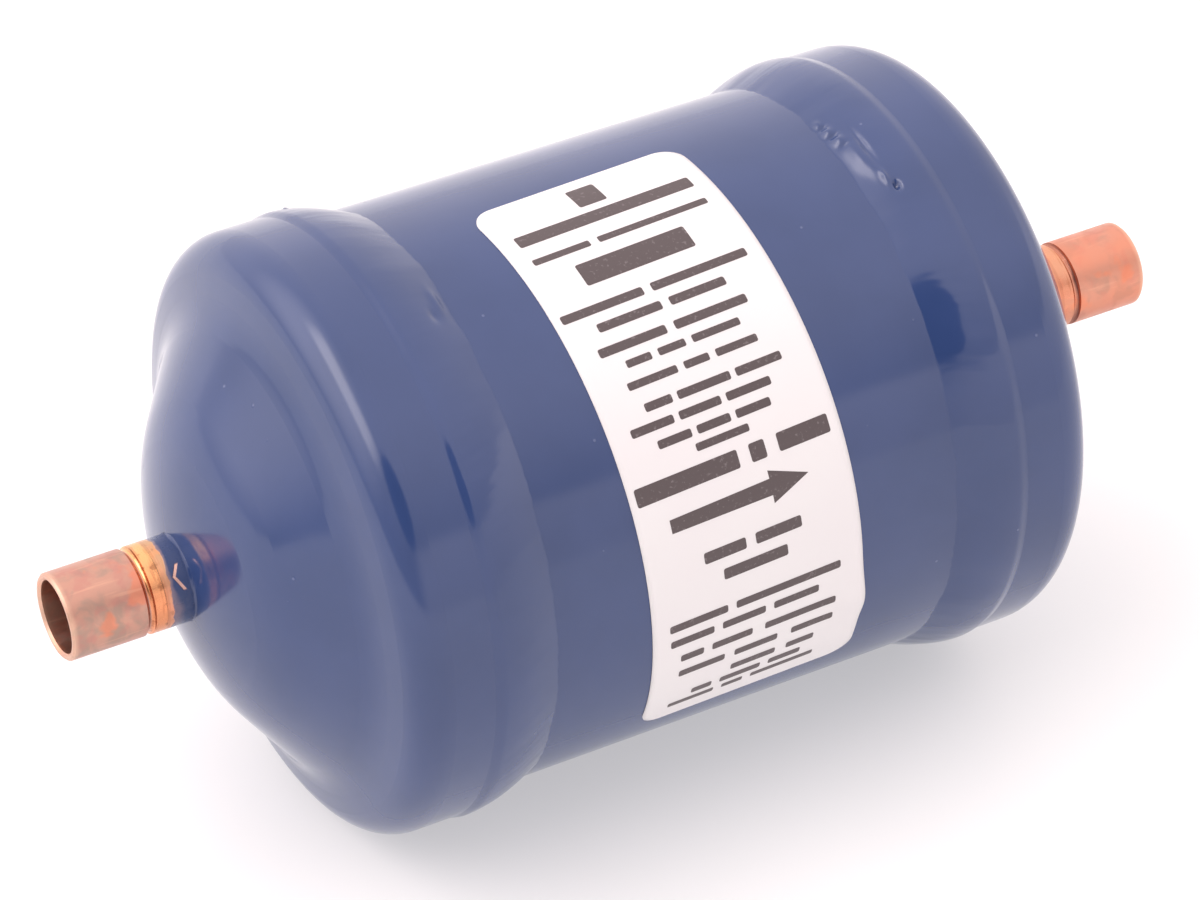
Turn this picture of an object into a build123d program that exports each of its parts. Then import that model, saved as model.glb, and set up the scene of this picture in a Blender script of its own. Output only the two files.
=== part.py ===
"""Liquid line filter drier: a welded steel shell with a domed cap and a copper solder socket at each
end, and inside it a spring-loaded bed of drying beads between perforated plates.

The flow runs along +X, from the inlet socket to the outlet socket, and +Z is up. The origin is the
middle of the shell, on its axis. All lengths are millimetres and all angles degrees.
"""

from build123d import *
from math import asin, cos, degrees, radians, sin, sqrt
import os

os.makedirs("parts", exist_ok=True)

# Shell
shell_diameter = 76.2  # outside of the middle tube, a 3 inch size
shell_wall = 1.6
exposed_length = 57.6  # bare tube between the two weld toes
lap_clearance = 0.1  # radial, between the tube and a skirt
stop_clearance = 0.75  # between the tube's end and the shoulder that stops it
tube_chamfer = 0.4

# Drawn end cap, from the rim of its skirt to its crown
cap_wall = 1.7
skirt_length = 8.35
shoulder_radius = 5.4
shoulder_turn = 75  # from the axis
shoulder_face = 2.9  # straight band inside the shoulder
valley_radius = 12.0
flank_turn = 54.8  # cone between the valley and the knuckle
crown_turn = 68  # where the knuckle runs into the crown
knuckle_ratio = 0.63  # dished end: both radii follow the skirt's outer radius
crown_ratio = 1.13

# Seam weld
weld_leg = 6.6  # bead on the tube, from its toe to the skirt's rim
weld_lap = 3.2  # bead on the skirt, from its rim
weld_crest = 1.4  # where on the skirt the bead is highest
weld_crown = 0.35  # crest above the skirt
weld_bulge = 0.25

# Copper fitting
socket_bore = 9.62  # takes a 3/8 inch tube
socket_wall = 0.94
socket_projection = 16.3  # mouth to the crown
stop_depth = 10.7  # mouth to the middle of the rolled stop
stop_width = 1.1
stop_groove = 0.5
lip_chamfer = 0.3
tail_length = 3.0  # fitting inside the cap
braze_clearance = 0.08  # radial, between the fitting and the cap
braze_leg = 0.8
braze_seat = 0.02

# Label, a film wrapped on the tube
label_width = 30.3
label_wrap = 125.8  # degrees round the tube
label_middle = 56.8  # degrees from the top, towards -Y
label_offset = -1.6  # along the axis
label_skew = 3.1
label_corner = 3.2
label_film = 0.12
label_seat = 0.05  # adhesive under the film

# Inner pieces
bed_clearance = 0.15  # radial, to the inside of the tube
seat_clearance = 0.1  # from a plate or the spring to the cap that carries it
face_clearance = 0.02  # between discs that lie on each other
plate_thickness = 1.2
plate_flange = 4.2
plate_bend = 0.6  # inside the turned rim
plate_margin = 6.0  # no ring of holes is centred nearer the rim
hole_diameter = 7.5
hole_pitch = 13.0  # from one ring of holes to the next
screen_thickness = 0.5
filter_thickness = 8.0
carbon_thickness = 10.0
felt_thickness = 3.0
pad_chamfer = 0.8
spring_wire = 2.8
spring_diameter = 27.0  # middle of the wire
spring_length = 30.0
spring_turns = 2.5

# Radii and stations that follow from the sizes above
tube_radius = shell_diameter / 2
tube_bore_radius = tube_radius - shell_wall
skirt_bore_radius = tube_radius + lap_clearance
skirt_radius = skirt_bore_radius + cap_wall
knuckle_radius = knuckle_ratio * skirt_radius
crown_radius = crown_ratio * skirt_radius
socket_radius = socket_bore / 2
fitting_radius = socket_radius + socket_wall
hole_radius = fitting_radius + braze_clearance
toe_x = exposed_length / 2
rim_x = toe_x + weld_leg
shoulder_x = rim_x + skirt_length
tube_end_x = shoulder_x - stop_clearance

steep = radians(shoulder_turn)
slope = radians(flank_turn)
dish = radians(crown_turn)
flank_rise = (
    skirt_radius
    - shoulder_radius * (1 - cos(steep))
    - shoulder_face * sin(steep)
    - valley_radius * (cos(slope) - cos(steep))
    - knuckle_radius * (cos(slope) - cos(dish))
    - crown_radius * cos(dish)
)
flank_length = flank_rise / sin(slope)
crown_x = (
    shoulder_x
    + shoulder_radius * sin(steep)
    + shoulder_face * cos(steep)
    + valley_radius * (sin(steep) - sin(slope))
    + flank_length * cos(slope)
    + knuckle_radius * (sin(dish) - sin(slope))
    + crown_radius * (1 - sin(dish))
)
crown_middle_x = crown_x - crown_radius
mouth_x = crown_x + socket_projection
tail_x = crown_x - cap_wall - tail_length


def sphere_x(radius, height):
    """Station on a sphere about the crown's middle, at a height above the axis."""
    return crown_middle_x + sqrt(radius**2 - height**2)


def skin(inset):
    """One skin of the cap from the rim to the pierced hole, inset from the outer surface."""
    skirt = Line((rim_x, skirt_radius - inset), (shoulder_x, skirt_radius - inset))
    shoulder = JernArc(skirt @ 1, skirt % 1, shoulder_radius - inset, -shoulder_turn)
    face = PolarLine(shoulder @ 1, shoulder_face, direction=shoulder % 1)
    valley = JernArc(face @ 1, face % 1, valley_radius + inset, shoulder_turn - flank_turn)
    flank = PolarLine(valley @ 1, flank_length, direction=valley % 1)
    knuckle = JernArc(flank @ 1, flank % 1, knuckle_radius - inset, flank_turn - crown_turn)
    pierced = degrees(asin(hole_radius / (crown_radius - inset)))
    crown = JernArc(knuckle @ 1, knuckle % 1, crown_radius - inset, crown_turn - 90 + pierced)
    return skirt, crown


# Shell tube: plain welded tube, open at both ends, its corners eased to enter the caps
with BuildPart() as shell_tube:
    with BuildSketch(Plane.YZ.offset(-tube_end_x)):
        Circle(tube_radius)
        Circle(tube_bore_radius, mode=Mode.SUBTRACT)
    extrude(amount=2 * tube_end_x)
    corners = shell_tube.edges().filter_by(GeomType.CIRCLE).group_by(SortBy.RADIUS)[-1]
    chamfer(corners, tube_chamfer)

# Outlet end cap: drawn cup with a skirt, a shoulder, a shallow valley, a cone and a dished crown
with BuildPart() as outlet_end_cap:
    with BuildSketch(Plane.XY):
        with BuildLine():
            outer_skirt, outer_crown = skin(0)
            inner_skirt, inner_crown = skin(cap_wall)
            Line(outer_skirt @ 0, inner_skirt @ 0)
            Line(outer_crown @ 1, inner_crown @ 1)
        make_face()
    revolve(axis=Axis.X)

# Outlet seam weld: one bead that runs up from the tube, over the skirt's rim and onto the skirt
with BuildPart() as outlet_seam_weld:
    with BuildSketch(Plane.XY):
        with BuildLine():
            toe = (toe_x, tube_radius)
            crest = (rim_x + weld_crest, skirt_radius + weld_crown)
            lap_end = (rim_x + weld_lap, skirt_radius)
            SagittaArc(toe, crest, weld_bulge)
            SagittaArc(crest, lap_end, weld_bulge / 4)
            Polyline(lap_end, (rim_x, skirt_radius), (rim_x, tube_radius), toe)
        make_face()
    revolve(axis=Axis.X)

# Outlet fitting: copper socket with a rolled stop, a groove outside and a bead inside, and a plain tail
with BuildPart() as outlet_fitting:
    stop_x = mouth_x - stop_depth
    with BuildSketch(Plane.XY):
        with BuildLine():
            front = Line((mouth_x, fitting_radius), (stop_x + stop_width / 2, fitting_radius))
            groove = ThreePointArc(
                front @ 1,
                (stop_x, fitting_radius - stop_groove),
                (stop_x - stop_width / 2, fitting_radius),
            )
            tail = Polyline(
                groove @ 1,
                (tail_x, fitting_radius),
                (tail_x, socket_radius),
                (stop_x - stop_width, socket_radius),
            )
            bead = ThreePointArc(
                tail @ 1,
                (stop_x, socket_radius - stop_groove),
                (stop_x + stop_width, socket_radius),
            )
            Polyline(bead @ 1, (mouth_x, socket_radius), front @ 0)
        make_face()
    revolve(axis=Axis.X)
    mouth_edges = outlet_fitting.faces().sort_by(Axis.X)[-1].edges()
    chamfer(mouth_edges, lip_chamfer)

# Outlet braze ring: hollow fillet of filler metal between the crown and the fitting
with BuildPart() as outlet_braze_ring:
    with BuildSketch(Plane.XY):
        with BuildLine():
            seat_radius = crown_radius + braze_seat
            low = fitting_radius + braze_seat
            high = low + braze_leg
            middle = (low + high) / 2
            seat = ThreePointArc(
                (sphere_x(seat_radius, low), low),
                (sphere_x(seat_radius, middle), middle),
                (sphere_x(seat_radius, high), high),
            )
            tip = (sphere_x(seat_radius, low) + braze_leg, low)
            SagittaArc(seat @ 1, tip, -braze_leg / 5)
            Line(tip, seat @ 0)
        make_face()
    revolve(axis=Axis.X)

# Inlet side: the same four pieces, mirrored about the middle of the shell
with BuildPart() as inlet_end_cap:
    mirror(outlet_end_cap.part, about=Plane.YZ)

with BuildPart() as inlet_seam_weld:
    mirror(outlet_seam_weld.part, about=Plane.YZ)

with BuildPart() as inlet_fitting:
    mirror(outlet_fitting.part, about=Plane.YZ)

with BuildPart() as inlet_braze_ring:
    mirror(outlet_braze_ring.part, about=Plane.YZ)

# Label: a film round the tube, cut to a rounded rectangle that is wrapped slightly askew
label_normal = Vector(0, 0, 1).rotate(Axis.X, label_middle)
wrap_axis = Axis((0, 0, 0), Vector(1, 0, 0).rotate(Axis((0, 0, 0), label_normal), label_skew))
wrap_start = label_normal.rotate(wrap_axis, -label_wrap / 2)
wrap_normal = wrap_axis.direction.cross(wrap_start)
wrap_plane = Plane(origin=(0, 0, 0), x_dir=wrap_axis.direction, z_dir=wrap_normal)
cutter_depth = tube_radius / 2
with BuildPart() as label_cutter:
    with BuildSketch(wrap_plane):
        with Locations((label_offset, tube_radius)):
            Rectangle(label_width, cutter_depth)
    revolve(axis=wrap_axis, revolution_arc=label_wrap)
    cutter_lines = label_cutter.edges().filter_by(GeomType.LINE)
    fillet(cutter_lines.filter_by(wrap_axis, reverse=True), label_corner)

with BuildPart() as label:
    with BuildSketch(Plane.YZ.offset(-tube_end_x)):
        Circle(tube_radius + label_seat + label_film)
        Circle(tube_radius + label_seat, mode=Mode.SUBTRACT)
    extrude(amount=2 * tube_end_x)
    add(label_cutter.part, mode=Mode.INTERSECT)

# Stations of the inner stack, from the outlet cap back to the spring
bed_radius = tube_bore_radius - bed_clearance
plate_rise = bed_radius - (skirt_radius - shoulder_radius)
plate_seat = sqrt((shoulder_radius - cap_wall) ** 2 - plate_rise**2)
plate_out_x = shoulder_x + plate_seat - seat_clearance
plate_in_x = plate_out_x - plate_thickness
outlet_screen_x = plate_in_x - face_clearance - screen_thickness
filter_x = outlet_screen_x - face_clearance - filter_thickness
carbon_x = filter_x - face_clearance - carbon_thickness
spring_reach = (spring_diameter + spring_wire) / 2
spring_out_x = -(sphere_x(crown_radius - cap_wall, spring_reach) - seat_clearance)
spring_in_x = spring_out_x + spring_length
press_x = spring_in_x + face_clearance
inlet_screen_x = press_x + plate_thickness + face_clearance
felt_x = inlet_screen_x + screen_thickness + face_clearance
bead_x = felt_x + felt_thickness + face_clearance
bead_length = carbon_x - face_clearance - bead_x


def punch_pattern():
    """Round holes in rings about the axis: one in the middle, then four more in each ring."""
    Circle(hole_diameter / 2)
    for ring in range(1, int((bed_radius - plate_margin) / hole_pitch) + 1):
        with PolarLocations(ring * hole_pitch, 4 * ring):
            Circle(hole_diameter / 2)


# Outlet support plate: perforated disc that bears on the outlet cap's shoulder
with BuildPart() as outlet_support_plate:
    with BuildSketch(Plane.YZ.offset(plate_in_x)):
        Circle(bed_radius)
    extrude(amount=plate_thickness)
    with BuildSketch(Plane.YZ.offset(plate_in_x)):
        punch_pattern()
    extrude(amount=plate_thickness, mode=Mode.SUBTRACT)

# Outlet screen: fine mesh disc, modelled as a plain one
with BuildPart() as outlet_screen:
    with BuildSketch(Plane.YZ.offset(outlet_screen_x)):
        Circle(bed_radius)
    extrude(amount=screen_thickness)

# Outlet filter pad: fibre disc with soft edges
with BuildPart() as outlet_filter_pad:
    with BuildSketch(Plane.YZ.offset(filter_x)):
        Circle(bed_radius)
    extrude(amount=filter_thickness)
    chamfer(outlet_filter_pad.edges().filter_by(GeomType.CIRCLE), pad_chamfer)

# Carbon bed: activated carbon, which fills the tube
with BuildPart() as carbon_bed:
    with BuildSketch(Plane.YZ.offset(carbon_x)):
        Circle(bed_radius)
    extrude(amount=carbon_thickness)

# Desiccant bed: drying beads, which fill the tube
with BuildPart() as desiccant_bed:
    with BuildSketch(Plane.YZ.offset(bead_x)):
        Circle(bed_radius)
    extrude(amount=bead_length)

# Inlet felt pad: fibre disc with soft edges
with BuildPart() as inlet_felt_pad:
    with BuildSketch(Plane.YZ.offset(felt_x)):
        Circle(bed_radius)
    extrude(amount=felt_thickness)
    chamfer(inlet_felt_pad.edges().filter_by(GeomType.CIRCLE), pad_chamfer)

# Inlet screen: fine mesh disc, modelled as a plain one
with BuildPart() as inlet_screen:
    with BuildSketch(Plane.YZ.offset(inlet_screen_x)):
        Circle(bed_radius)
    extrude(amount=screen_thickness)

# Pressure plate: perforated dish with its rim turned towards the spring
with BuildPart() as pressure_plate:
    with BuildSketch(Plane.XY) as dish_section:
        with BuildLine():
            back_x = press_x + plate_thickness
            rim_radius = bed_radius - plate_thickness
            edge_x = press_x - plate_flange
            Polyline(
                (back_x, 0),
                (back_x, bed_radius),
                (edge_x, bed_radius),
                (edge_x, rim_radius),
                (press_x, rim_radius),
                (press_x, 0),
                close=True,
            )
        make_face()
        inner_bend = dish_section.vertices().group_by(Axis.Y)[-2].sort_by(Axis.X)[-1]
        fillet(inner_bend, plate_bend)
        outer_bend = dish_section.vertices().group_by(Axis.Y)[-1].sort_by(Axis.X)[-1]
        fillet(outer_bend, plate_bend + plate_thickness)
    revolve(axis=Axis.X)
    with BuildSketch(Plane.YZ.offset(press_x)):
        punch_pattern()
    extrude(amount=plate_thickness, mode=Mode.SUBTRACT)

# Compression spring: round wire coil, ground flat at both ends
with BuildPart() as compression_spring:
    with BuildLine() as coil:
        Helix(
            pitch=spring_length / spring_turns,
            height=spring_length,
            radius=spring_diameter / 2,
            center=(spring_out_x, 0, 0),
            direction=(1, 0, 0),
        )
    with BuildSketch(Plane(origin=coil.line @ 0, z_dir=coil.line % 0)):
        Circle(spring_wire / 2)
    sweep(path=coil.line, is_frenet=True)
    with BuildSketch(Plane.YZ.offset(spring_out_x)):
        Circle(spring_reach + spring_wire)
    extrude(amount=spring_length, mode=Mode.INTERSECT)

# Names and written files, one for each piece
shell_tube.part.label = "shell_tube"
inlet_end_cap.part.label = "inlet_end_cap"
outlet_end_cap.part.label = "outlet_end_cap"
inlet_seam_weld.part.label = "inlet_seam_weld"
outlet_seam_weld.part.label = "outlet_seam_weld"
inlet_fitting.part.label = "inlet_fitting"
outlet_fitting.part.label = "outlet_fitting"
inlet_braze_ring.part.label = "inlet_braze_ring"
outlet_braze_ring.part.label = "outlet_braze_ring"
label.part.label = "label"
compression_spring.part.label = "compression_spring"
pressure_plate.part.label = "pressure_plate"
inlet_screen.part.label = "inlet_screen"
inlet_felt_pad.part.label = "inlet_felt_pad"
desiccant_bed.part.label = "desiccant_bed"
carbon_bed.part.label = "carbon_bed"
outlet_filter_pad.part.label = "outlet_filter_pad"
outlet_screen.part.label = "outlet_screen"
outlet_support_plate.part.label = "outlet_support_plate"

export_step(shell_tube.part, "parts/shell_tube.step")
export_step(inlet_end_cap.part, "parts/inlet_end_cap.step")
export_step(outlet_end_cap.part, "parts/outlet_end_cap.step")
export_step(inlet_seam_weld.part, "parts/inlet_seam_weld.step")
export_step(outlet_seam_weld.part, "parts/outlet_seam_weld.step")
export_step(inlet_fitting.part, "parts/inlet_fitting.step")
export_step(outlet_fitting.part, "parts/outlet_fitting.step")
export_step(inlet_braze_ring.part, "parts/inlet_braze_ring.step")
export_step(outlet_braze_ring.part, "parts/outlet_braze_ring.step")
export_step(label.part, "parts/label.step")
export_step(compression_spring.part, "parts/compression_spring.step")
export_step(pressure_plate.part, "parts/pressure_plate.step")
export_step(inlet_screen.part, "parts/inlet_screen.step")
export_step(inlet_felt_pad.part, "parts/inlet_felt_pad.step")
export_step(desiccant_bed.part, "parts/desiccant_bed.step")
export_step(carbon_bed.part, "parts/carbon_bed.step")
export_step(outlet_filter_pad.part, "parts/outlet_filter_pad.step")
export_step(outlet_screen.part, "parts/outlet_screen.step")
export_step(outlet_support_plate.part, "parts/outlet_support_plate.step")

print(f"overall length {2 * mouth_x:.2f}, skirt diameter {2 * skirt_radius:.2f}")
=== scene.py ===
"""Dresses the filter drier: paint, copper, weld beads, label and a plain studio stage.

The drier lies along X with its inlet at -X, in the frame of its solid model. Lengths are metres and
angles radians, except where a name or comment says millimetres or degrees.
"""

from math import cos, exp, pi, radians, sin, sqrt

import bpy
from mathutils import Matrix, Vector, noise


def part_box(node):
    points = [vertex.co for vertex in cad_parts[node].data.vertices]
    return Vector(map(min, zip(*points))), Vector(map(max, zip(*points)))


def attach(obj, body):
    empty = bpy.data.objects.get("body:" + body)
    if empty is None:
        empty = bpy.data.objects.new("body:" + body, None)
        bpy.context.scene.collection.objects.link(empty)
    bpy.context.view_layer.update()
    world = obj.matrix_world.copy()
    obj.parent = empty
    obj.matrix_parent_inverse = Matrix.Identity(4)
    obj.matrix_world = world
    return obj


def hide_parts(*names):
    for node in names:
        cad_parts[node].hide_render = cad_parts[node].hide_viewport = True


bl_info = {
    "name": "Filter Drier Looks",
    "version": (1, 0, 0),
    "blender": (4, 5, 0),
    "location": "View3D > Sidebar > Filter Drier",
    "description": "Weld beads, label, finishes and studio stage for a refrigerant filter drier",
    "category": "Object",
}

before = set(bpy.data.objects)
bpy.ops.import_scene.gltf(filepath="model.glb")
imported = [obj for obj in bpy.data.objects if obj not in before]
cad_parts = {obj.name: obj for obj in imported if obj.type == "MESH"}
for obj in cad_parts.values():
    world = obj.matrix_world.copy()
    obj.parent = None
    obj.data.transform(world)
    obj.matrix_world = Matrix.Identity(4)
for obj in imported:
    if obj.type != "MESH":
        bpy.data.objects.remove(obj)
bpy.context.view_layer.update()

MM = 0.001
X, Z = 0, 2
INLET, OUTLET = -1, 1


# Sizes read from the frame


def lowest(node, axis):
    """Lowest coordinate of a node along one axis."""
    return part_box(node)[0][axis]


def highest(node, axis):
    """Highest coordinate of a node along one axis."""
    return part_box(node)[1][axis]


TUBE_RADIUS = highest("shell_tube", Z)
SKIRT_RADIUS = highest("outlet_end_cap", Z)
BEAD_RADIUS = highest("outlet_seam_weld", Z)
FITTING_RADIUS = highest("outlet_fitting", Z)
RIM_X = lowest("outlet_end_cap", X)
CROWN_X = highest("outlet_end_cap", X)
TOE_X = lowest("outlet_seam_weld", X)
BEAD_END_X = highest("outlet_seam_weld", X)
MOUTH_X = highest("outlet_fitting", X)
FLOOR_Z = -BEAD_RADIUS


# Shader expressions


class Value:
    """One output of a node. Arithmetic on a number adds Math nodes."""

    def __init__(self, tree, socket):
        self.tree = tree
        self.socket = socket

    def _math(self, operation, *operands):
        return self.tree.node("ShaderNodeMath", {"operation": operation}, dict(enumerate(operands)))

    def __add__(self, other):
        return self._math("ADD", self, other)

    __radd__ = __add__

    def __sub__(self, other):
        return self._math("SUBTRACT", self, other)

    def __rsub__(self, other):
        return self._math("SUBTRACT", other, self)

    def __mul__(self, other):
        return self._math("MULTIPLY", self, other)

    __rmul__ = __mul__

    def __truediv__(self, other):
        return self._math("DIVIDE", self, other)

    def __rtruediv__(self, other):
        return self._math("DIVIDE", other, self)

    def __neg__(self):
        return self._math("MULTIPLY", self, -1.0)

    def __abs__(self):
        return self._math("ABSOLUTE", self)

    def sine(self):
        return self._math("SINE", self)

    def at_least(self, other):
        return self._math("MAXIMUM", self, other)

    def rise(self, low, high):
        """0 below low, 1 above high, smooth between. With low above high it falls instead."""
        inputs = {"Value": self, "From Min": low, "From Max": high}
        return self.tree.node("ShaderNodeMapRange", {"interpolation_type": "SMOOTHSTEP"}, inputs)

    def band(self, middle, half, soft):
        """1 within half of the middle, fading to 0 over soft."""
        return abs(self - middle).rise(half + soft, half)


class NodeTree:
    """The node tree of a material or a world, emptied. One method makes its nodes."""

    def __init__(self, owner):
        owner.use_nodes = True
        self.tree = owner.node_tree
        self.tree.nodes.clear()

    def node(self, kind, settings, inputs, output=0):
        """Adds a node, sets its settings and then its sockets, and returns one of its outputs."""
        made = self.tree.nodes.new(kind)
        for setting, value in settings.items():
            setattr(made, setting, value)
        for socket, value in inputs.items():
            self.feed(made.inputs[socket], value)
        return None if output is None else Value(self, made.outputs[output])

    def feed(self, socket, value):
        """Links a value to a socket, or sets the socket to a constant."""
        if isinstance(value, Value):
            self.tree.links.new(value.socket, socket)
        else:
            socket.default_value = value

    def toward(self, look, direction):
        """Cosine between a direction socket and a fixed direction."""
        inputs = {0: look, 1: Vector(direction).normalized()}
        return self.node("ShaderNodeVectorMath", {"operation": "DOT_PRODUCT"}, inputs, "Value")


class Shader(NodeTree):
    """One material, built from a Principled surface and expressions."""

    # The Mix node's colour sockets share their names with others, so they go by number.
    MIX_LOW, MIX_HIGH, MIX_RESULT = 6, 7, 2

    def __init__(self, name, constants):
        self.material = bpy.data.materials.new(name)
        super().__init__(self.material)
        surface = self.node("ShaderNodeBsdfPrincipled", {}, constants)
        self.node("ShaderNodeOutputMaterial", {}, {"Surface": surface}, None)
        self.surface = surface.socket.node
        self.place = self.node("ShaderNodeTexCoord", {}, {}, "Object")

    def set(self, socket, value):
        """Feeds a socket of the surface."""
        self.feed(self.surface.inputs[socket], value)

    def axis(self, name):
        """One coordinate of the place on the object, in millimetres."""
        return self.node("ShaderNodeSeparateXYZ", {}, {0: self.place}, name) / MM

    def around(self):
        """Angle round the drier's axis, in degrees from the top towards -Y."""
        settings = {"operation": "ARCTAN2"}
        turn = self.node("ShaderNodeMath", settings, {0: -self.axis("Y"), 1: self.axis("Z")})
        return turn * (180 / pi)

    def stretched(self, x, y, z):
        """The place on the object, scaled along each axis."""
        inputs = {0: self.place, 1: (x, y, z)}
        return self.node("ShaderNodeVectorMath", {"operation": "MULTIPLY"}, inputs)

    def clouds(self, size_mm, detail=3.0, where=None, roughness=0.5, seed=0.0, warp=0.0):
        """Soft noise about 0.5, with features of a size in millimetres."""
        inputs = {
            "Vector": where or self.place,
            "W": seed,
            "Scale": 1 / (size_mm * MM),
            "Detail": detail,
            "Roughness": roughness,
            "Distortion": warp,
        }
        return self.node("ShaderNodeTexNoise", {"noise_dimensions": "4D"}, inputs)

    def cells(self, size_mm):
        """Distance to the nearest of scattered points, in cells of a size in millimetres."""
        inputs = {"Vector": self.place, "Scale": 1 / (size_mm * MM)}
        return self.node("ShaderNodeTexVoronoi", {"feature": "F1"}, inputs, "Distance")

    def mix(self, mask, low, high):
        """Colour that goes from low to high as the mask goes from 0 to 1."""
        inputs = {
            "Factor": mask,
            self.MIX_LOW: self._colour(low),
            self.MIX_HIGH: self._colour(high),
        }
        return self.node("ShaderNodeMix", {"data_type": "RGBA"}, inputs, self.MIX_RESULT)

    def _colour(self, colour):
        return colour if isinstance(colour, Value) else (*colour, 1.0)

    def relief(self, height_mm):
        """Feeds a height in millimetres to the surface as bump."""
        self.set("Normal", self.node("ShaderNodeBump", {}, {"Distance": MM, "Height": height_mm}))


def srgb(red, green, blue):
    """Linear colour from display values of 0 to 255."""

    def linear(value):
        share = value / 255
        return share / 12.92 if share <= 0.04045 else ((share + 0.055) / 1.055) ** 2.4

    return linear(red), linear(green), linear(blue)


# Finishes

# Places on a fitting, in millimetres from its mouth.
STOP_GROOVE = 10.4
RING_START = 10.6
RING_END = 12.6
SECOND_GROOVE = 13.0
SPRAY_EDGE = 14.0
SCRATCH_BEND = 14.5

# Other sizes of the finishes, in millimetres.
DUST_SPACING = 5.5
WIRE_PITCH = 0.5
GROOVE_HALF_WIDTH = 0.12
GROOVE_SOFT = 0.2


def orange_peel(paint):
    """Height of sprayed paint, in millimetres: long waves, fine peel and specks of dust."""
    waves = (paint.clouds(9.0, detail=1.0) - 0.5) * 0.02
    peel = (paint.clouds(1.1, detail=2.0, seed=4.0) - 0.5) * 0.0035
    dust = paint.cells(DUST_SPACING).rise(0.06, 0.02) * 0.03
    return waves + peel + dust


def shell_paint(finish, name):
    """Deep blue gloss paint over drawn and welded steel."""
    paint = Shader(name, {"IOR": 1.6})
    thick = paint.clouds(14.0, detail=3.0, seed=2.0).rise(0.3, 0.75)
    coat = paint.mix(thick, finish.paint_thin, finish.paint_deep)
    dust = paint.cells(DUST_SPACING).rise(0.045, 0.02)
    paint.set("Base Color", paint.mix(dust * 0.35, coat, srgb(120, 130, 165)))
    haze = paint.clouds(22.0, detail=4.0, seed=7.0).rise(0.35, 0.8)
    paint.set("Roughness", haze * 0.06 + 0.1)
    paint.relief(orange_peel(paint))
    return paint.material


def copper(finish, name, side, ring_shine, heat):
    """Drawn copper that the shell's spray has reached near the cap.

    side is the end of the drier, ring_shine how strongly the ring behind the groove is laid gold,
    partly as a painted highlight, and heat how far the torch has turned the whole fitting orange.
    """
    metal = Shader(name, {})
    from_mouth = MOUTH_X / MM - metal.axis("X") * side
    turn = metal.around()
    blotch = metal.clouds(3.6, detail=4.0, seed=1.5, warp=0.8).rise(0.42, 0.62)
    drawn = metal.clouds(0.5, detail=2.0, where=metal.stretched(0.35, 1.0, 1.0), seed=5.0)
    groove = from_mouth.band(STOP_GROOVE, GROOVE_HALF_WIDTH, GROOVE_SOFT)
    ring = from_mouth.rise(RING_START, RING_START + 0.3)
    ring = ring * (1 - from_mouth.rise(RING_END, RING_END + 0.6) * 0.45)
    second = from_mouth.band(SECOND_GROOVE, GROOVE_HALF_WIDTH, GROOVE_SOFT)
    past_edge = from_mouth - spray_edge(metal, turn)
    film = past_edge.rise(0.0, 0.2)
    thick = past_edge.rise(0.25, 0.6 + turn.rise(50, 100) * 1.3)
    scratched = bent_scratch(from_mouth, turn) if side == INLET else 0.0
    bare = 1 - scratched

    colour = bare_copper(metal, finish, blotch, heat)
    # Painted highlight on the lip of the mouth, with bright scratch lines along the fitting.
    colour = lip_highlight_and_scratches(metal, colour, from_mouth)
    # Gold on the ring behind the groove, partly a painted highlight that is lighter on top.
    colour = ring_tint_and_highlight(metal, colour, turn, ring, ring_shine)
    # Painted shade: the second groove and the stop groove are darkened.
    colour = metal.mix(second * 0.25, colour, srgb(166, 104, 76))
    colour = metal.mix(groove * 0.35, colour, srgb(110, 52, 40))
    colour = metal.mix(scratched * 0.8, colour, srgb(222, 182, 172))
    colour = metal.mix(film * bare * 0.85, colour, srgb(92, 96, 124))
    metal.set("Base Color", metal.mix(thick * bare, colour, finish.paint_deep))
    metal.set("Metallic", 1 - film * bare)
    metal.set("Roughness", 0.36 + blotch * 0.1 - ring * 0.12 - film * 0.08)
    height = (drawn - 0.5) * 0.012 + film * 0.03 * bare - second * 0.02
    metal.relief(height + (blotch - 0.5) * 0.006)
    return metal.material


def bare_copper(metal, finish, blotch, heat):
    """Colour of copper with its grey film, tarnish, heat patches and an orange wash of heat."""
    tarnish = metal.clouds(2.2, detail=5.0, seed=3.1, warp=0.5).rise(0.48, 0.66)
    flame = metal.clouds(4.5, detail=3.0, seed=9.6).rise(0.57, 0.66)
    wash = metal.clouds(6.0, detail=2.0, seed=21.0).rise(0.3, 0.7) * 0.5 + 0.5
    colour = metal.mix(blotch, finish.copper_pink, finish.copper_dull)
    colour = metal.mix(tarnish * 0.5, colour, srgb(198, 136, 126))
    colour = metal.mix(flame * 0.5, colour, finish.copper_bright)
    return metal.mix(wash * heat, colour, srgb(226, 140, 108))


def lip_highlight_and_scratches(metal, colour, from_mouth):
    """Brightens the lip of the mouth as a painted highlight, and lays bright scratch lines along
    the fitting.
    """
    lip = from_mouth.rise(0.9, 0.3)
    lines = metal.clouds(1.6, detail=4.0, where=metal.stretched(0.12, 1.6, 1.6), seed=12.0)
    # Painted highlight: the lip of the mouth is lightened.
    colour = metal.mix(lip * 0.4, colour, srgb(238, 200, 172))
    return metal.mix(lines.rise(0.6, 0.7) * 0.25, colour, srgb(244, 190, 160))


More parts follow.
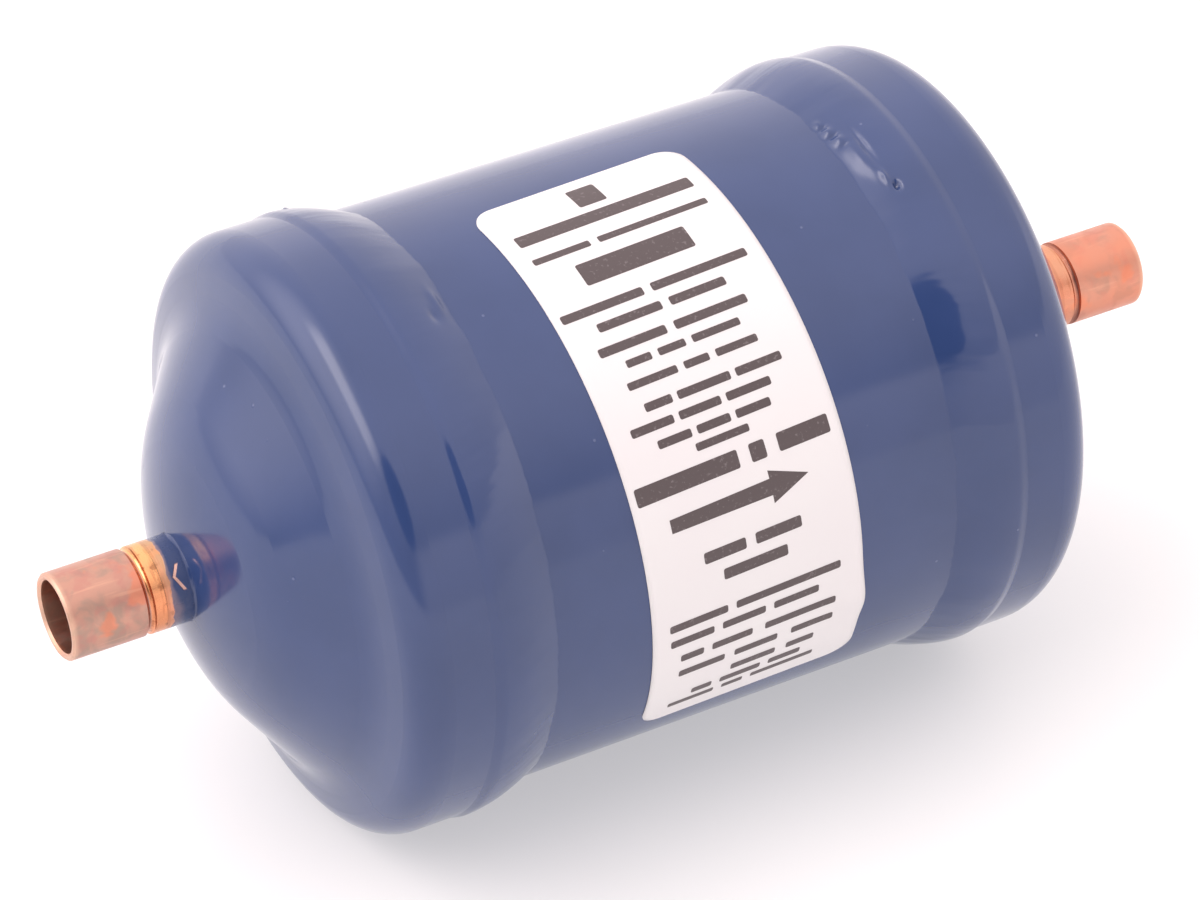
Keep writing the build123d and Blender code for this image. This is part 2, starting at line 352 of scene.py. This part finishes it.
def ring_tint_and_highlight(metal, colour, turn, ring, shine):
    """Lays gold on the ring behind the groove, with brown stripes round it and dark spots. The gold
    is partly the ring's own colour and partly painted highlight: lighter on top, darker towards -Y.
    """
    stripe = metal.clouds(1.2, detail=3.0, where=metal.stretched(2.5, 0.3, 0.3), seed=8.0)
    spot = metal.clouds(1.5, detail=3.0, seed=15.0).rise(0.58, 0.66)
    # Painted highlight and shade: the ring's gold is lighter on top and darker round towards -Y.
    gold = metal.mix(turn.rise(0, 80), srgb(250, 194, 128), srgb(236, 152, 102))
    colour = metal.mix(ring * shine * 0.8, colour, gold)
    colour = metal.mix(ring * stripe.rise(0.54, 0.66) * 0.4, colour, srgb(186, 112, 78))
    return metal.mix(ring * spot * shine * 0.5, colour, srgb(126, 76, 56))


def spray_edge(metal, turn):
    """Ragged edge of the overspray, in millimetres from the mouth: nearer to it on the -Y side."""
    ragged = metal.clouds(1.6, detail=3.0, seed=6.0) - 0.5
    return SPRAY_EDGE - turn.rise(-20, 90) * 0.5 + ragged


def bent_scratch(from_mouth, turn):
    """A scratch through the paint on the inlet stub, bent at one turn round it."""
    bend_turn = 48
    before = (bend_turn - turn).at_least(0) * 0.055
    after = (turn - bend_turn).at_least(0) * 0.05
    off_line = from_mouth - (SCRATCH_BEND + before + after)
    return off_line.band(0.0, 0.16, 0.14) * turn.band(50, 16, 3)


def braze_filler():
    """Dull filler metal, with the flux's brown film."""
    filler = Shader("braze_filler", {"Metallic": 1.0})
    film = filler.clouds(1.4, detail=4.0).rise(0.4, 0.65)
    filler.set("Base Color", filler.mix(film, srgb(200, 150, 110), srgb(105, 66, 50)))
    filler.set("Roughness", film * 0.25 + 0.3)
    filler.relief((filler.clouds(0.7, detail=2.0, seed=3.0) - 0.5) * 0.06)
    return filler.material


def label_film(finish):
    """White satin film, faintly creased and dusted."""
    film = Shader("label_film", {"IOR": 1.45})
    tone = film.clouds(16.0, detail=3.0).rise(0.3, 0.7)
    film.set("Base Color", film.mix(tone * 0.4, finish.label_white, srgb(224, 219, 221)))
    film.set("Roughness", 0.42 + (film.clouds(3.0, seed=2.0) - 0.5) * 0.1)
    crease = (film.clouds(11.0, detail=2.0, seed=5.0) - 0.5) * 0.05
    film.relief(crease + (film.clouds(0.3, seed=1.0) - 0.5) * 0.002)
    return film.material


def label_ink(finish):
    """Printed ink, a little thin where the film's surface was proud."""
    ink = Shader("label_ink", {"IOR": 1.45})
    thin = ink.clouds(0.5, detail=4.0).rise(0.56, 0.72)
    ink.set("Base Color", ink.mix(thin * 0.35, finish.ink, srgb(150, 142, 144)))
    ink.set("Roughness", 0.36 + thin * 0.1)
    return ink.material


def bare_steel():
    """Pressed steel strip and drawn wire."""
    steel = Shader("bare_steel", {"Metallic": 1.0})
    drawn = steel.clouds(0.6, detail=3.0, where=steel.stretched(1.0, 0.2, 1.0))
    steel.set("Base Color", steel.mix(drawn, srgb(150, 150, 150), srgb(190, 188, 184)))
    steel.set("Roughness", drawn * 0.2 + 0.25)
    steel.relief((drawn - 0.5) * 0.01)
    return steel.material


def woven_wire():
    """Fine wire cloth: two sets of crossing wires, dark in the gaps between them as painted shade.
    """
    wire = Shader("woven_wire", {"Metallic": 1.0})
    weft = (wire.axis("Y") * (2 * pi / WIRE_PITCH)).sine()
    warp = (wire.axis("Z") * (2 * pi / WIRE_PITCH)).sine()
    cloth = weft.at_least(warp)
    # Painted shade: the gaps between the wires are dark.
    colour = wire.mix(cloth.rise(-0.2, 0.6), srgb(60, 60, 60), srgb(185, 184, 180))
    wire.set("Base Color", colour)
    wire.set("Roughness", 0.4 - cloth * 0.1)
    wire.relief(cloth * 0.08)
    return wire.material


def pressed_felt():
    """Off-white fibre felt."""
    felt = Shader("pressed_felt", {"IOR": 1.4})
    fibre = felt.clouds(0.35, detail=6.0, roughness=0.7, warp=1.5)
    felt.set("Base Color", felt.mix(fibre, srgb(196, 190, 174), srgb(236, 232, 220)))
    felt.set("Roughness", 0.85 + fibre * 0.1)
    felt.relief((fibre - 0.5) * 0.3)
    return felt.material


def packed_grains(name, size_mm, dark, light):
    """Grains packed against each other: round beads or broken carbon, darker towards each grain's
    edge as painted shade in the gaps.
    """
    grains = Shader(name, {"IOR": 1.5})
    far = grains.cells(size_mm)
    tone = grains.clouds(size_mm * 3, detail=2.0)
    # Painted shade: the colour goes to the dark tone towards each grain's edge, in the gaps between
    # grains.
    grains.set("Base Color", grains.mix(tone * far.rise(0.7, 0.1), dark, light))
    grains.set("Roughness", 0.7 + far * 0.2)
    grains.relief((1 - far * far) * size_mm * 0.35)
    return grains.material


def studio_white():
    """Pale floor that glows a little, with a breath of grain."""
    paper = Shader("studio_white", {"Emission Strength": 0.42})
    grain = paper.clouds(40.0, detail=3.0)
    paper.set("Base Color", paper.mix(grain, (0.55, 0.54, 0.54), (0.58, 0.57, 0.57)))
    paper.set("Roughness", 0.75 + grain * 0.1)
    paper.set("Emission Color", paper.mix(grain, (0.99, 0.98, 0.98), (1.0, 0.99, 0.99)))
    return paper.material


def dress(nodes, material):
    """Gives nodes of the frame a finish."""
    for node in nodes:
        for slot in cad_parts[node].material_slots:
            slot.material = material


# Meshes


def new_piece(name, points, faces, material):
    """A smooth mesh piece that rides with the drier."""
    mesh = bpy.data.meshes.new(name)
    mesh.from_pydata(points, [], faces)
    mesh.materials.append(material)
    for polygon in mesh.polygons:
        polygon.use_smooth = True
    mesh.update()
    piece = bpy.data.objects.new(name, mesh)
    bpy.context.scene.collection.objects.link(piece)
    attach(piece, "root")
    return piece


def grid_faces(rows, columns, wrap, turned):
    """Quads of a grid of points, row by row.

    The last column meets the first where wrap is set, and the quads face the other way where turned
    is set.
    """
    faces = []
    for row in range(rows - 1):
        for column in range(columns if wrap else columns - 1):
            after = (column + 1) % columns
            here = row * columns
            there = here + columns
            face = (here + column, here + after, there + after, there + column)
            faces.append(face[::-1] if turned else face)
    return faces


def on_tube(x, turn, radius):
    """Point at a radius, turned from the top towards -Y."""
    return x, -radius * sin(turn), radius * cos(turn)


def end_name(side):
    """Word for an end in the names of its pieces."""
    return "inlet" if side == INLET else "outlet"


# Weld beads and braze fillets

BEAD_ROWS = 48
BEAD_COLUMNS = 1100
CREST_X = RIM_X + 1.4 * MM

# A bead ends this far under the skirt. One row more runs on past each of its edges, deeper still.
BEAD_END_SUNK = 0.03 * MM
RUN_OUT_SUNK = 0.06 * MM
TOE_RUN_OUT = 0.5 * MM
END_RUN_OUT = 0.6 * MM

# A mark is taken as gone at this many of its half sizes from its middle.
MARK_FADES = 2.5

# Marks of the weld's start and stop: turn in degrees, then, in millimetres, the place along the
# drier, half sizes round it and along it, and the height.
INLET_MARKS = (
    (-33.9, 34.9, 0.4, 0.3, 0.2),
    (15.0, 30.2, 2.2, 0.6, 0.3),
    (18.0, 31.6, 1.0, 0.5, -0.25),
)
OUTLET_MARKS = (
    (0.6, 29.5, 0.7, 0.5, 0.24),
    (2.2, 29.8, 0.35, 0.6, -0.26),
    (3.8, 29.8, 0.7, 0.6, 0.32),
    (5.4, 30.0, 0.35, 0.7, -0.32),
    (7.0, 30.1, 0.75, 0.7, 0.36),
    (8.8, 30.3, 0.35, 0.6, -0.2),
    (12.5, 30.8, 2.4, 0.9, 0.36),
    (10.5, 32.2, 2.6, 0.35, -0.3),
    (17.0, 31.4, 2.0, 0.7, 0.16),
    (19.2, 32.0, 1.1, 0.35, 0.38),
    (21.8, 32.8, 0.6, 0.35, -0.75),
)

FILLET_ROWS = 9
FILLET_COLUMNS = 160

# A fillet's legs, how far its outer foot lies behind the cap's crown, and how far its inner foot is
# sunk into the fitting.
FILLET_LEG = 0.5 * MM
FILLET_SEAT = 0.35 * MM
FILLET_SUNK = 0.02 * MM


def weld_bead(side, seed, marks, material):
    """Seam weld of one end: a low bead with a wandering toe and the marks of its start and stop."""
    points = []
    for row in range(BEAD_ROWS):
        for column in range(BEAD_COLUMNS):
            turn = 2 * pi * column / BEAD_COLUMNS
            x, radius = bead_point(row, turn, seed, marks)
            points.append(on_tube(side * x, turn, radius))
    faces = grid_faces(BEAD_ROWS, BEAD_COLUMNS, wrap=True, turned=side == OUTLET)
    bead = new_piece(end_name(side) + "_weld_bead", points, faces, material)
    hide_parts(end_name(side) + "_seam_weld")


def bead_point(row, turn, seed, marks):
    """Place along the drier and radius of a point of the outlet's bead, by its row and turn."""
    ring = Vector((cos(turn), sin(turn), seed))
    wander = noise.noise(ring * 5.0) * 0.35 * MM + noise.noise(ring * 17.0) * 0.12 * MM
    toe = TOE_X + wander
    if row == 0:
        return toe - TOE_RUN_OUT, TUBE_RADIUS - RUN_OUT_SUNK
    if row == BEAD_ROWS - 1:
        return BEAD_END_X + END_RUN_OUT, SKIRT_RADIUS - RUN_OUT_SUNK
    share = (row - 1) / (BEAD_ROWS - 3)
    x = toe + (BEAD_END_X - toe) * share
    swell = sin(pi * share)
    radius = bead_profile(x, toe)
    radius += swell * noise.noise(ring * 9.0 + Vector((share, 0, 0))) * 0.08 * MM
    radius += swell * noise.noise(ring * 40.0 + Vector((share * 3, 0, 0))) * 0.015 * MM
    return x, radius + mark_height(marks, turn, x)


def bead_profile(x, toe):
    """Radius of a bead at a place: up from the tube to the crest, then softly down to the skirt."""
    if x < CREST_X:
        share = (x - toe) / (CREST_X - toe)
        return TUBE_RADIUS + (BEAD_RADIUS - TUBE_RADIUS) * sin(pi / 2 * share)
    share = (x - CREST_X) / (BEAD_END_X - CREST_X)
    drop = BEAD_RADIUS - SKIRT_RADIUS + BEAD_END_SUNK
    return BEAD_RADIUS - drop * share * share * (3 - 2 * share)


def mark_height(marks, turn, x):
    """Sum of the marks' humps and hollows at a place on the bead."""
    height = 0.0
    for degrees, place, half_round, half_along, size in marks:
        turned = (turn - radians(degrees) + pi) % (2 * pi) - pi
        across = turned * TUBE_RADIUS / (half_round * MM)
        along = (x / MM - place) / half_along
        if abs(across) < MARK_FADES and abs(along) < MARK_FADES:
            height += size * MM * exp(-(across**2) - along**2)
    return height


def fillet(side, material):
    """Narrow, slightly lumpy braze fillet between a fitting and its cap."""
    points = []
    for row in range(FILLET_ROWS):
        bend = pi / 2 * row / (FILLET_ROWS - 1)
        for column in range(FILLET_COLUMNS):
            turn = 2 * pi * column / FILLET_COLUMNS
            ring = Vector((cos(turn), sin(turn), side * 4.0))
            lump = 1 + 0.45 * noise.noise(ring * 2.5) + 0.25 * noise.noise(ring * 7.0)
            leg = FILLET_LEG * lump
            x = CROWN_X - FILLET_SEAT + (leg + FILLET_SEAT) * (1 - sin(bend))
            radius = FITTING_RADIUS + leg * (1 - cos(bend)) - FILLET_SUNK
            points.append(on_tube(side * x, turn, radius))
    faces = grid_faces(FILLET_ROWS, FILLET_COLUMNS, wrap=True, turned=side == INLET)
    piece = new_piece(end_name(side) + "_braze_fillet", points, faces, material)
    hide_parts(end_name(side) + "_braze_ring")


# Label. Places on it are millimetres across and down from its middle, as it lies flat.

# How far the film's face, the foot of its edge and the print stand off the tube.
FILM_LIFT = 0.17 * MM
FILM_EDGE_LIFT = 0.03 * MM
PRINT_LIFT = 0.185 * MM

# The stretch that has come loose at the right edge: its middle, how far it spreads, and its lift.
LOOSE_ACROSS, LOOSE_DOWN = 16.0, 29.0
LOOSE_WIDTH, LOOSE_LENGTH = 3.2, 3.4
LOOSE_LIFT = 0.9 * MM

# How finely the meshes are divided.
FILM_COLUMNS = 40
CORNER_STEPS = 10
STRAIGHT_STEPS = 120
BAR_COLUMNS = 8
BAR_END_STEPS = 8
ARROW_COLUMNS = 12
ARROW_STEPS = 24

# Plain printed bars, in rows: how far down, height, and each bar's left and right end. Their
# corners have one radius.
PRINTED_ROWS = (
    (-38.0, 3.8, ((-2.1, 1.9),)),
    (-33.9, 2.0, ((-12.7, 12.8),)),
    (-30.0, 1.0, ((-12.7, -4.5), (-3.3, 12.7))),
    (-25.8, 3.4, ((-8.3, 7.5),)),
    (-20.9, 1.2, ((-14.0, -2.2), (-1.0, 12.9))),
    (-18.3, 1.2, ((-10.2, -1.0), (0.2, 8.3))),
    (-15.2, 1.2, ((-11.7, -2.0), (-0.8, 9.7))),
    (-12.8, 1.0, ((-9.0, -5.4), (-4.4, -0.5), (0.5, 7.4))),
    (-10.1, 1.0, ((-10.1, -3.0), (-2.0, 1.6), (2.6, 8.6))),
    (-7.0, 1.1, ((-9.1, -5.2), (-4.4, 3.2), (4.0, 10.6))),
    (-4.6, 1.1, ((-12.1, -6.0), (-5.2, 0.8), (1.6, 8.0))),
    (-2.2, 1.1, ((-9.2, -4.4), (-3.6, 1.2), (2.0, 7.0))),
    (-0.2, 1.0, ((-4.5, 3.1),)),
    (3.0, 2.4, ((-14.2, 0.5), (2.2, 4.4), (6.2, 13.6))),
    (13.8, 1.6, ((-7.0, -1.0), (0.4, 7.0))),
    (17.0, 1.6, ((-4.6, 4.6),)),
    (22.3, 1.2, ((-12.7, -4.4), (-3.2, 11.9))),
    (24.9, 1.2, ((-12.6, -6.4), (-5.2, 1.0), (2.2, 8.7))),
    (28.0, 1.2, ((-11.1, -7.8), (-6.6, -0.8), (1.0, 11.2))),
    (31.0, 1.2, ((-11.2, -4.6), (-3.2, 3.0), (5.0, 11.0))),
    (34.0, 1.2, ((-3.4, 3.0), (4.6, 8.6))),
    (36.4, 1.2, ((-8.7, -5.8), (-4.6, 1.2), (2.4, 7.0))),
    (38.4, 1.0, ((-11.7, -5.2), (-4.0, -1.0), (0.2, 9.2))),
)
BAR_CORNER = 0.3

# The flow arrow: how far down it is, its ends, and the length and half widths of its parts.
ARROW_DOWN = 8.0
ARROW_TAIL, ARROW_TIP = -10.6, 9.2
ARROW_HEAD = 5.4
ARROW_SHAFT, ARROW_BARB = 0.95, 2.2


class LabelPlace:
    """Turns places on the flat label into places on the tube."""

    def __init__(self, sizes):
        self.skew = sizes.label_skew
        self.middle = sizes.label_middle
        self.offset = sizes.label_offset

    def point(self, across, down, lift):
        """The place on the tube, lifted off it."""
        x = self.offset + (across * cos(self.skew) + down * sin(self.skew)) * MM
        arc = (down * cos(self.skew) - across * sin(self.skew)) * MM
        return on_tube(x, self.middle + arc / TUBE_RADIUS, TUBE_RADIUS + lift)


class Sheet:
    """Thin patches that lie on the tube, gathered into one piece."""

    def __init__(self, place):
        self.place = place
        self.points = []
        self.faces = []

    def add(self, spans, lift, columns, edge_lift=None):
        """Adds a patch from rows of (down, left, right).

        lift says how far a place on it stands off the tube. With an edge_lift, a wall runs down to
        it from the patch's edge.
        """
        first = len(self.points)
        for down, left, right in spans:
            for column in range(columns):
                across = left + (right - left) * column / (columns - 1)
                self.points.append(self.place.point(across, down, lift(across, down)))
        for face in grid_faces(len(spans), columns, wrap=False, turned=True):
            self.faces.append(tuple(first + index for index in face))
        if edge_lift is not None:
            edge = [first + index for index in edge_loop(len(spans), columns)]
            self.turn_down(edge, edge_lift)

    def turn_down(self, edge, lift):
        """Adds a narrow wall from a loop of points down to a lift off the tube."""
        foot = len(self.points)
        for index in edge:
            x, y, z = self.points[index]
            scale = (TUBE_RADIUS + lift) / sqrt(y * y + z * z)
            self.points.append((x, y * scale, z * scale))
        for step, index in enumerate(edge):
            after = (step + 1) % len(edge)
            self.faces.append((index, edge[after], foot + after, foot + step))

    def piece(self, name, material):
        """Makes the piece."""
        return new_piece(name, self.points, self.faces, material)


def edge_loop(rows, columns):
    """Indices round the border of a grid of points."""
    top = list(range(columns))
    right = [row * columns + columns - 1 for row in range(1, rows)]
    bottom = [(rows - 1) * columns + column for column in range(columns - 2, -1, -1)]
    left = [row * columns for row in range(rows - 2, 0, -1)]
    return top + right + bottom + left


def rounded_span(down, half_width, half_length, corner):
    """Half width of a rounded rectangle at a distance down from its middle."""
    into = abs(down) - (half_length - corner)
    if into <= 0:
        return half_width
    return half_width - corner + sqrt(max(0.0, corner**2 - into**2))


def label_rows(half_length, corner):
    """Distances down the label: close together in its round corners, even between them."""
    straight = half_length - corner
    even = [-straight + 2 * straight * step / STRAIGHT_STEPS for step in range(STRAIGHT_STEPS + 1)]
    rounding = []
    for step in range(CORNER_STEPS, 0, -1):
        rounding.append(half_length - corner * (1 - sin(pi / 2 * step / CORNER_STEPS)))
    return [-value for value in rounding] + even + rounding[::-1]


def loose(across, down):
    """How far the film stands off where its right edge has come loose."""
    edge = exp(-(((across - LOOSE_ACROSS) / LOOSE_WIDTH) ** 2))
    return LOOSE_LIFT * edge * exp(-(((down - LOOSE_DOWN) / LOOSE_LENGTH) ** 2))


def film_lift(across, down):
    """How far the film's face stands off the tube."""
    return FILM_LIFT + loose(across, down)


def print_lift(across, down):
    """How far the print stands off the tube."""
    return PRINT_LIFT + loose(across, down)


def bar(down, height, left, right):
    """Rows of a printed bar with round corners."""
    half, middle, width = height / 2, (left + right) / 2, (right - left) / 2
    corner = min(BAR_CORNER, half / 2)
    spans = []
    for step in range(-BAR_END_STEPS, BAR_END_STEPS + 1):
        place = half * sin(pi / 2 * step / BAR_END_STEPS)
        span = rounded_span(place, width, half, corner)
        spans.append((down + place, middle - span, middle + span))
    return spans


def arrow():
    """Rows of the flow arrow."""
    spans = []
    for step in range(ARROW_STEPS + 1):
        down = -ARROW_BARB + 2 * ARROW_BARB * step / ARROW_STEPS
        left = ARROW_TAIL if abs(down) <= ARROW_SHAFT else ARROW_TIP - ARROW_HEAD
        right = ARROW_TIP - ARROW_HEAD * abs(down) / ARROW_BARB
        spans.append((ARROW_DOWN + down, left, right))
    return spans


# Settings


def colour_property(name, description, colour):
    return bpy.props.FloatVectorProperty(
        name=name, description=description, subtype="COLOR", size=3, min=0, max=1, default=colour
    )


def length_property(name, description, default):
    return bpy.props.FloatProperty(
        name=name, description=description, default=default, subtype="DISTANCE", unit="LENGTH"
    )


def angle_property(name, description, default):
    return bpy.props.FloatProperty(
        name=name, description=description, default=default, subtype="ANGLE", unit="ROTATION"
    )


class DrierFinish(bpy.types.PropertyGroup):
    """Colours of the drier's finishes."""

    paint_deep: colour_property("Deep paint", "Paint where it lies thick", (0.025, 0.049, 0.145))
    paint_thin: colour_property("Thin paint", "Paint where it lies thin", (0.032, 0.058, 0.165))
    copper_pink: colour_property("Clean copper", "Copper between its stains", srgb(203, 155, 137))
    copper_dull: colour_property("Dull copper", "Copper under a grey film", srgb(181, 151, 136))
    copper_bright: colour_property("Bright copper", "Orange heat patches", srgb(240, 138, 98))
    label_white: colour_property("Label film", "Bare label", (0.77, 0.755, 0.755))
    ink: colour_property("Label ink", "Printed fields", srgb(84, 74, 75))


class DrierSizes(bpy.types.PropertyGroup):
    """Sizes of the label and of the stage."""

    label_width: length_property("Label width", "Along the drier", 30.3 * MM)
    label_length: length_property("Label length", "Round the drier", 83.7 * MM)
    label_corner: length_property("Label corner", "Radius of its corners", 3.2 * MM)
    label_offset: length_property("Label offset", "Its middle along the drier", -1.6 * MM)
    label_middle: angle_property("Label middle", "From the top to its middle", radians(56.8))
    label_skew: angle_property("Label skew", "How far it is laid askew", radians(3.1))
    floor_width: length_property("Floor width", "Side of the studio floor", 6.0)
    lens: bpy.props.FloatProperty(
        name="Lens", description="Focal length of the camera", default=151.13, unit="CAMERA"
    )


# Stage

# Ways from the drier to its lights, and to the gap left unlit for the camera. The strip light is a
# stretch of a ring round its axis.
ABOVE_AND_BEHIND = (0.1, 0.45, 0.89)
SOFTBOX = (-0.72, 0.3, 0.62)
STRIP_AXIS = (0.571, -0.26, 0.779)
STRIP_MIDDLE = (-0.55, 0.02, 0.78)
LOW_CARD = (0.6, -0.8, 0.0)
UNLIT_GAP = (-0.37, -0.70, 0.61)
AIR_COLOUR = (1.0, 0.92, 0.92, 1.0)

# Where the camera stands, and which ways are right and up in its view.
CAMERA_PLACE = Vector((-0.25430, -0.45651, 0.39390))
CAMERA_RIGHT = Vector((0.87510, -0.48394, 0.0))
CAMERA_UP = Vector((0.29269, 0.52926, 0.79638))


def studio_floor(width):
    """A square floor under the drier, as low as its weld beads reach."""
    half = width / 2
    corners = [(-half, -half), (half, -half), (half, half), (-half, half)]
    mesh = bpy.data.meshes.new("studio_floor")
    mesh.from_pydata([(x, y, FLOOR_Z) for x, y in corners], [], [(0, 1, 2, 3)])
    mesh.materials.append(studio_white())
    floor = bpy.data.objects.new("studio_floor", mesh)
    bpy.context.scene.collection.objects.link(floor)


def studio_air():
    """Soft white surroundings.

    They are bright above and behind. A large softbox and a strip light stand high on the left, a
    low card on the right, and the place of the camera is unlit.
    """
    world = bpy.data.worlds.new("studio_air")
    air = NodeTree(world)
    look = air.node("ShaderNodeTexCoord", {}, {}, "Generated")
    height = air.node("ShaderNodeSeparateXYZ", {}, {0: look}, "Z")
    above = air.toward(look, ABOVE_AND_BEHIND).rise(-0.3, 0.7)
    softbox = air.toward(look, SOFTBOX).rise(0.7, 1.0)
    strip = air.toward(look, STRIP_AXIS).band(0.3, 0.1, 0.14)
    strip = strip * air.toward(look, STRIP_MIDDLE).rise(0.86, 0.96)
    low_card = air.toward(look, LOW_CARD).rise(0.3, 0.7) * height.rise(0.42, 0.35)
    unlit = air.toward(look, UNLIT_GAP).rise(0.951, 0.961)
    strength = 0.56 + above * 0.87 + softbox * 1.3 + strip * 2.4 + low_card * 0.65
    inputs = {"Color": AIR_COLOUR, "Strength": strength * (1 - unlit * 0.97)}
    light = air.node("ShaderNodeBackground", {}, inputs)
    air.node("ShaderNodeOutputWorld", {}, {"Surface": light}, None)
    bpy.context.scene.world = world


def studio_camera(lens):
    """The camera, which looks down on the drier from its inlet end."""
    view = bpy.data.cameras.new("studio_camera")
    view.lens = lens
    view.sensor_width = 36.0
    view.sensor_fit = "HORIZONTAL"
    view.clip_start = 0.05
    camera = bpy.data.objects.new("studio_camera", view)
    back = CAMERA_RIGHT.cross(CAMERA_UP)
    turned = Matrix((CAMERA_RIGHT, CAMERA_UP, back)).transposed().to_4x4()
    camera.matrix_world = Matrix.Translation(CAMERA_PLACE) @ turned
    bpy.context.scene.collection.objects.link(camera)
    bpy.context.scene.camera = camera


# Operators


class PaintShell(bpy.types.Operator):
    """Paint the tube and the caps, and lay rippled weld beads"""

    bl_idname = "drier.paint_shell"
    bl_label = "Paint Shell"

    def execute(self, context):
        paint = shell_paint(context.scene.drier_finish, "shell_paint")
        dress(["shell_tube", "inlet_end_cap", "outlet_end_cap"], paint)
        weld_bead(INLET, 2.0, INLET_MARKS, paint)
        weld_bead(OUTLET, 9.0, OUTLET_MARKS, paint)
        return {"FINISHED"}


class FinishFittings(bpy.types.Operator):
    """Finish the copper fittings and lay their braze fillets, the inlet's under paint"""

    bl_idname = "drier.finish_fittings"
    bl_label = "Finish Fittings"

    def execute(self, context):
        finish = context.scene.drier_finish
        inlet = copper(finish, "inlet_copper", INLET, ring_shine=1.0, heat=0.0)
        outlet = copper(finish, "outlet_copper", OUTLET, ring_shine=0.25, heat=0.65)
        dress(["inlet_fitting"], inlet)
        dress(["outlet_fitting"], outlet)
        fillet(INLET, shell_paint(finish, "painted_braze"))
        fillet(OUTLET, braze_filler())
        return {"FINISHED"}


class LayLabel(bpy.types.Operator):
    """Lay the label film on the tube and print its plain fields"""

    bl_idname = "drier.lay_label"
    bl_label = "Lay Label"

    def execute(self, context):
        finish, sizes = context.scene.drier_finish, context.scene.drier_sizes
        film = self.film_sheet(sizes).piece("label_film", label_film(finish))
        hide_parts("label")
        self.print_sheet(sizes).piece("label_print", label_ink(finish))
        return {"FINISHED"}

    def film_sheet(self, sizes):
        half_width = sizes.label_width / MM / 2
        half_length = sizes.label_length / MM / 2
        corner = sizes.label_corner / MM
        spans = []
        for down in label_rows(half_length, corner):
            half = rounded_span(down, half_width, half_length, corner)
            spans.append((down, -half, half))
        sheet = Sheet(LabelPlace(sizes))
        sheet.add(spans, film_lift, FILM_COLUMNS, edge_lift=FILM_EDGE_LIFT)
        return sheet

    def print_sheet(self, sizes):
        sheet = Sheet(LabelPlace(sizes))
        for down, height, fields in PRINTED_ROWS:
            for left, right in fields:
                sheet.add(bar(down, height, left, right), print_lift, BAR_COLUMNS)
        sheet.add(arrow(), print_lift, ARROW_COLUMNS)
        return sheet


class FinishInside(bpy.types.Operator):
    """Give the plates, spring, screens, pads and beds inside their finishes"""

    bl_idname = "drier.finish_inside"
    bl_label = "Finish Inside"

    def execute(self, context):
        dress(["pressure_plate", "outlet_support_plate", "compression_spring"], bare_steel())
        dress(["inlet_screen", "outlet_screen"], woven_wire())
        dress(["inlet_felt_pad", "outlet_filter_pad"], pressed_felt())
        beads = packed_grains("drying_beads", 2.4, srgb(150, 132, 104), srgb(226, 214, 190))
        carbon = packed_grains("activated_carbon", 1.6, srgb(12, 12, 13), srgb(58, 58, 60))
        dress(["desiccant_bed"], beads)
        dress(["carbon_bed"], carbon)
        return {"FINISHED"}


class SetStage(bpy.types.Operator):
    """Lay the floor, set the soft lights and place the camera"""

    bl_idname = "drier.set_stage"
    bl_label = "Set Stage"

    def execute(self, context):
        sizes = context.scene.drier_sizes
        studio_floor(sizes.floor_width)
        studio_air()
        studio_camera(sizes.lens)
        context.scene.view_settings.view_transform = "Standard"
        return {"FINISHED"}


class DrierPanel(bpy.types.Panel):
    """Lists the drier's operators and settings"""

    bl_idname = "VIEW3D_PT_filter_drier"
    bl_label = "Filter Drier"
    bl_space_type = "VIEW_3D"
    bl_region_type = "UI"
    bl_category = "Filter Drier"

    def draw(self, context):
        for group in (context.scene.drier_finish, context.scene.drier_sizes):
            for name in group.__annotations__:
                self.layout.prop(group, name)
        for operator in OPERATORS:
            self.layout.operator(operator.bl_idname)


OPERATORS = (PaintShell, FinishFittings, LayLabel, FinishInside, SetStage)
CLASSES = (DrierFinish, DrierSizes, *OPERATORS, DrierPanel)


def register():
    for item in CLASSES:
        bpy.utils.register_class(item)
    bpy.types.Scene.drier_finish = bpy.props.PointerProperty(type=DrierFinish)
    bpy.types.Scene.drier_sizes = bpy.props.PointerProperty(type=DrierSizes)


def unregister():
    del bpy.types.Scene.drier_sizes
    del bpy.types.Scene.drier_finish
    for item in reversed(CLASSES):
        bpy.utils.unregister_class(item)


def main():
    register()
    bpy.ops.drier.paint_shell()
    bpy.ops.drier.finish_fittings()
    bpy.ops.drier.lay_label()
    bpy.ops.drier.finish_inside()
    bpy.ops.drier.set_stage()


if __name__ == "__main__":
    main()
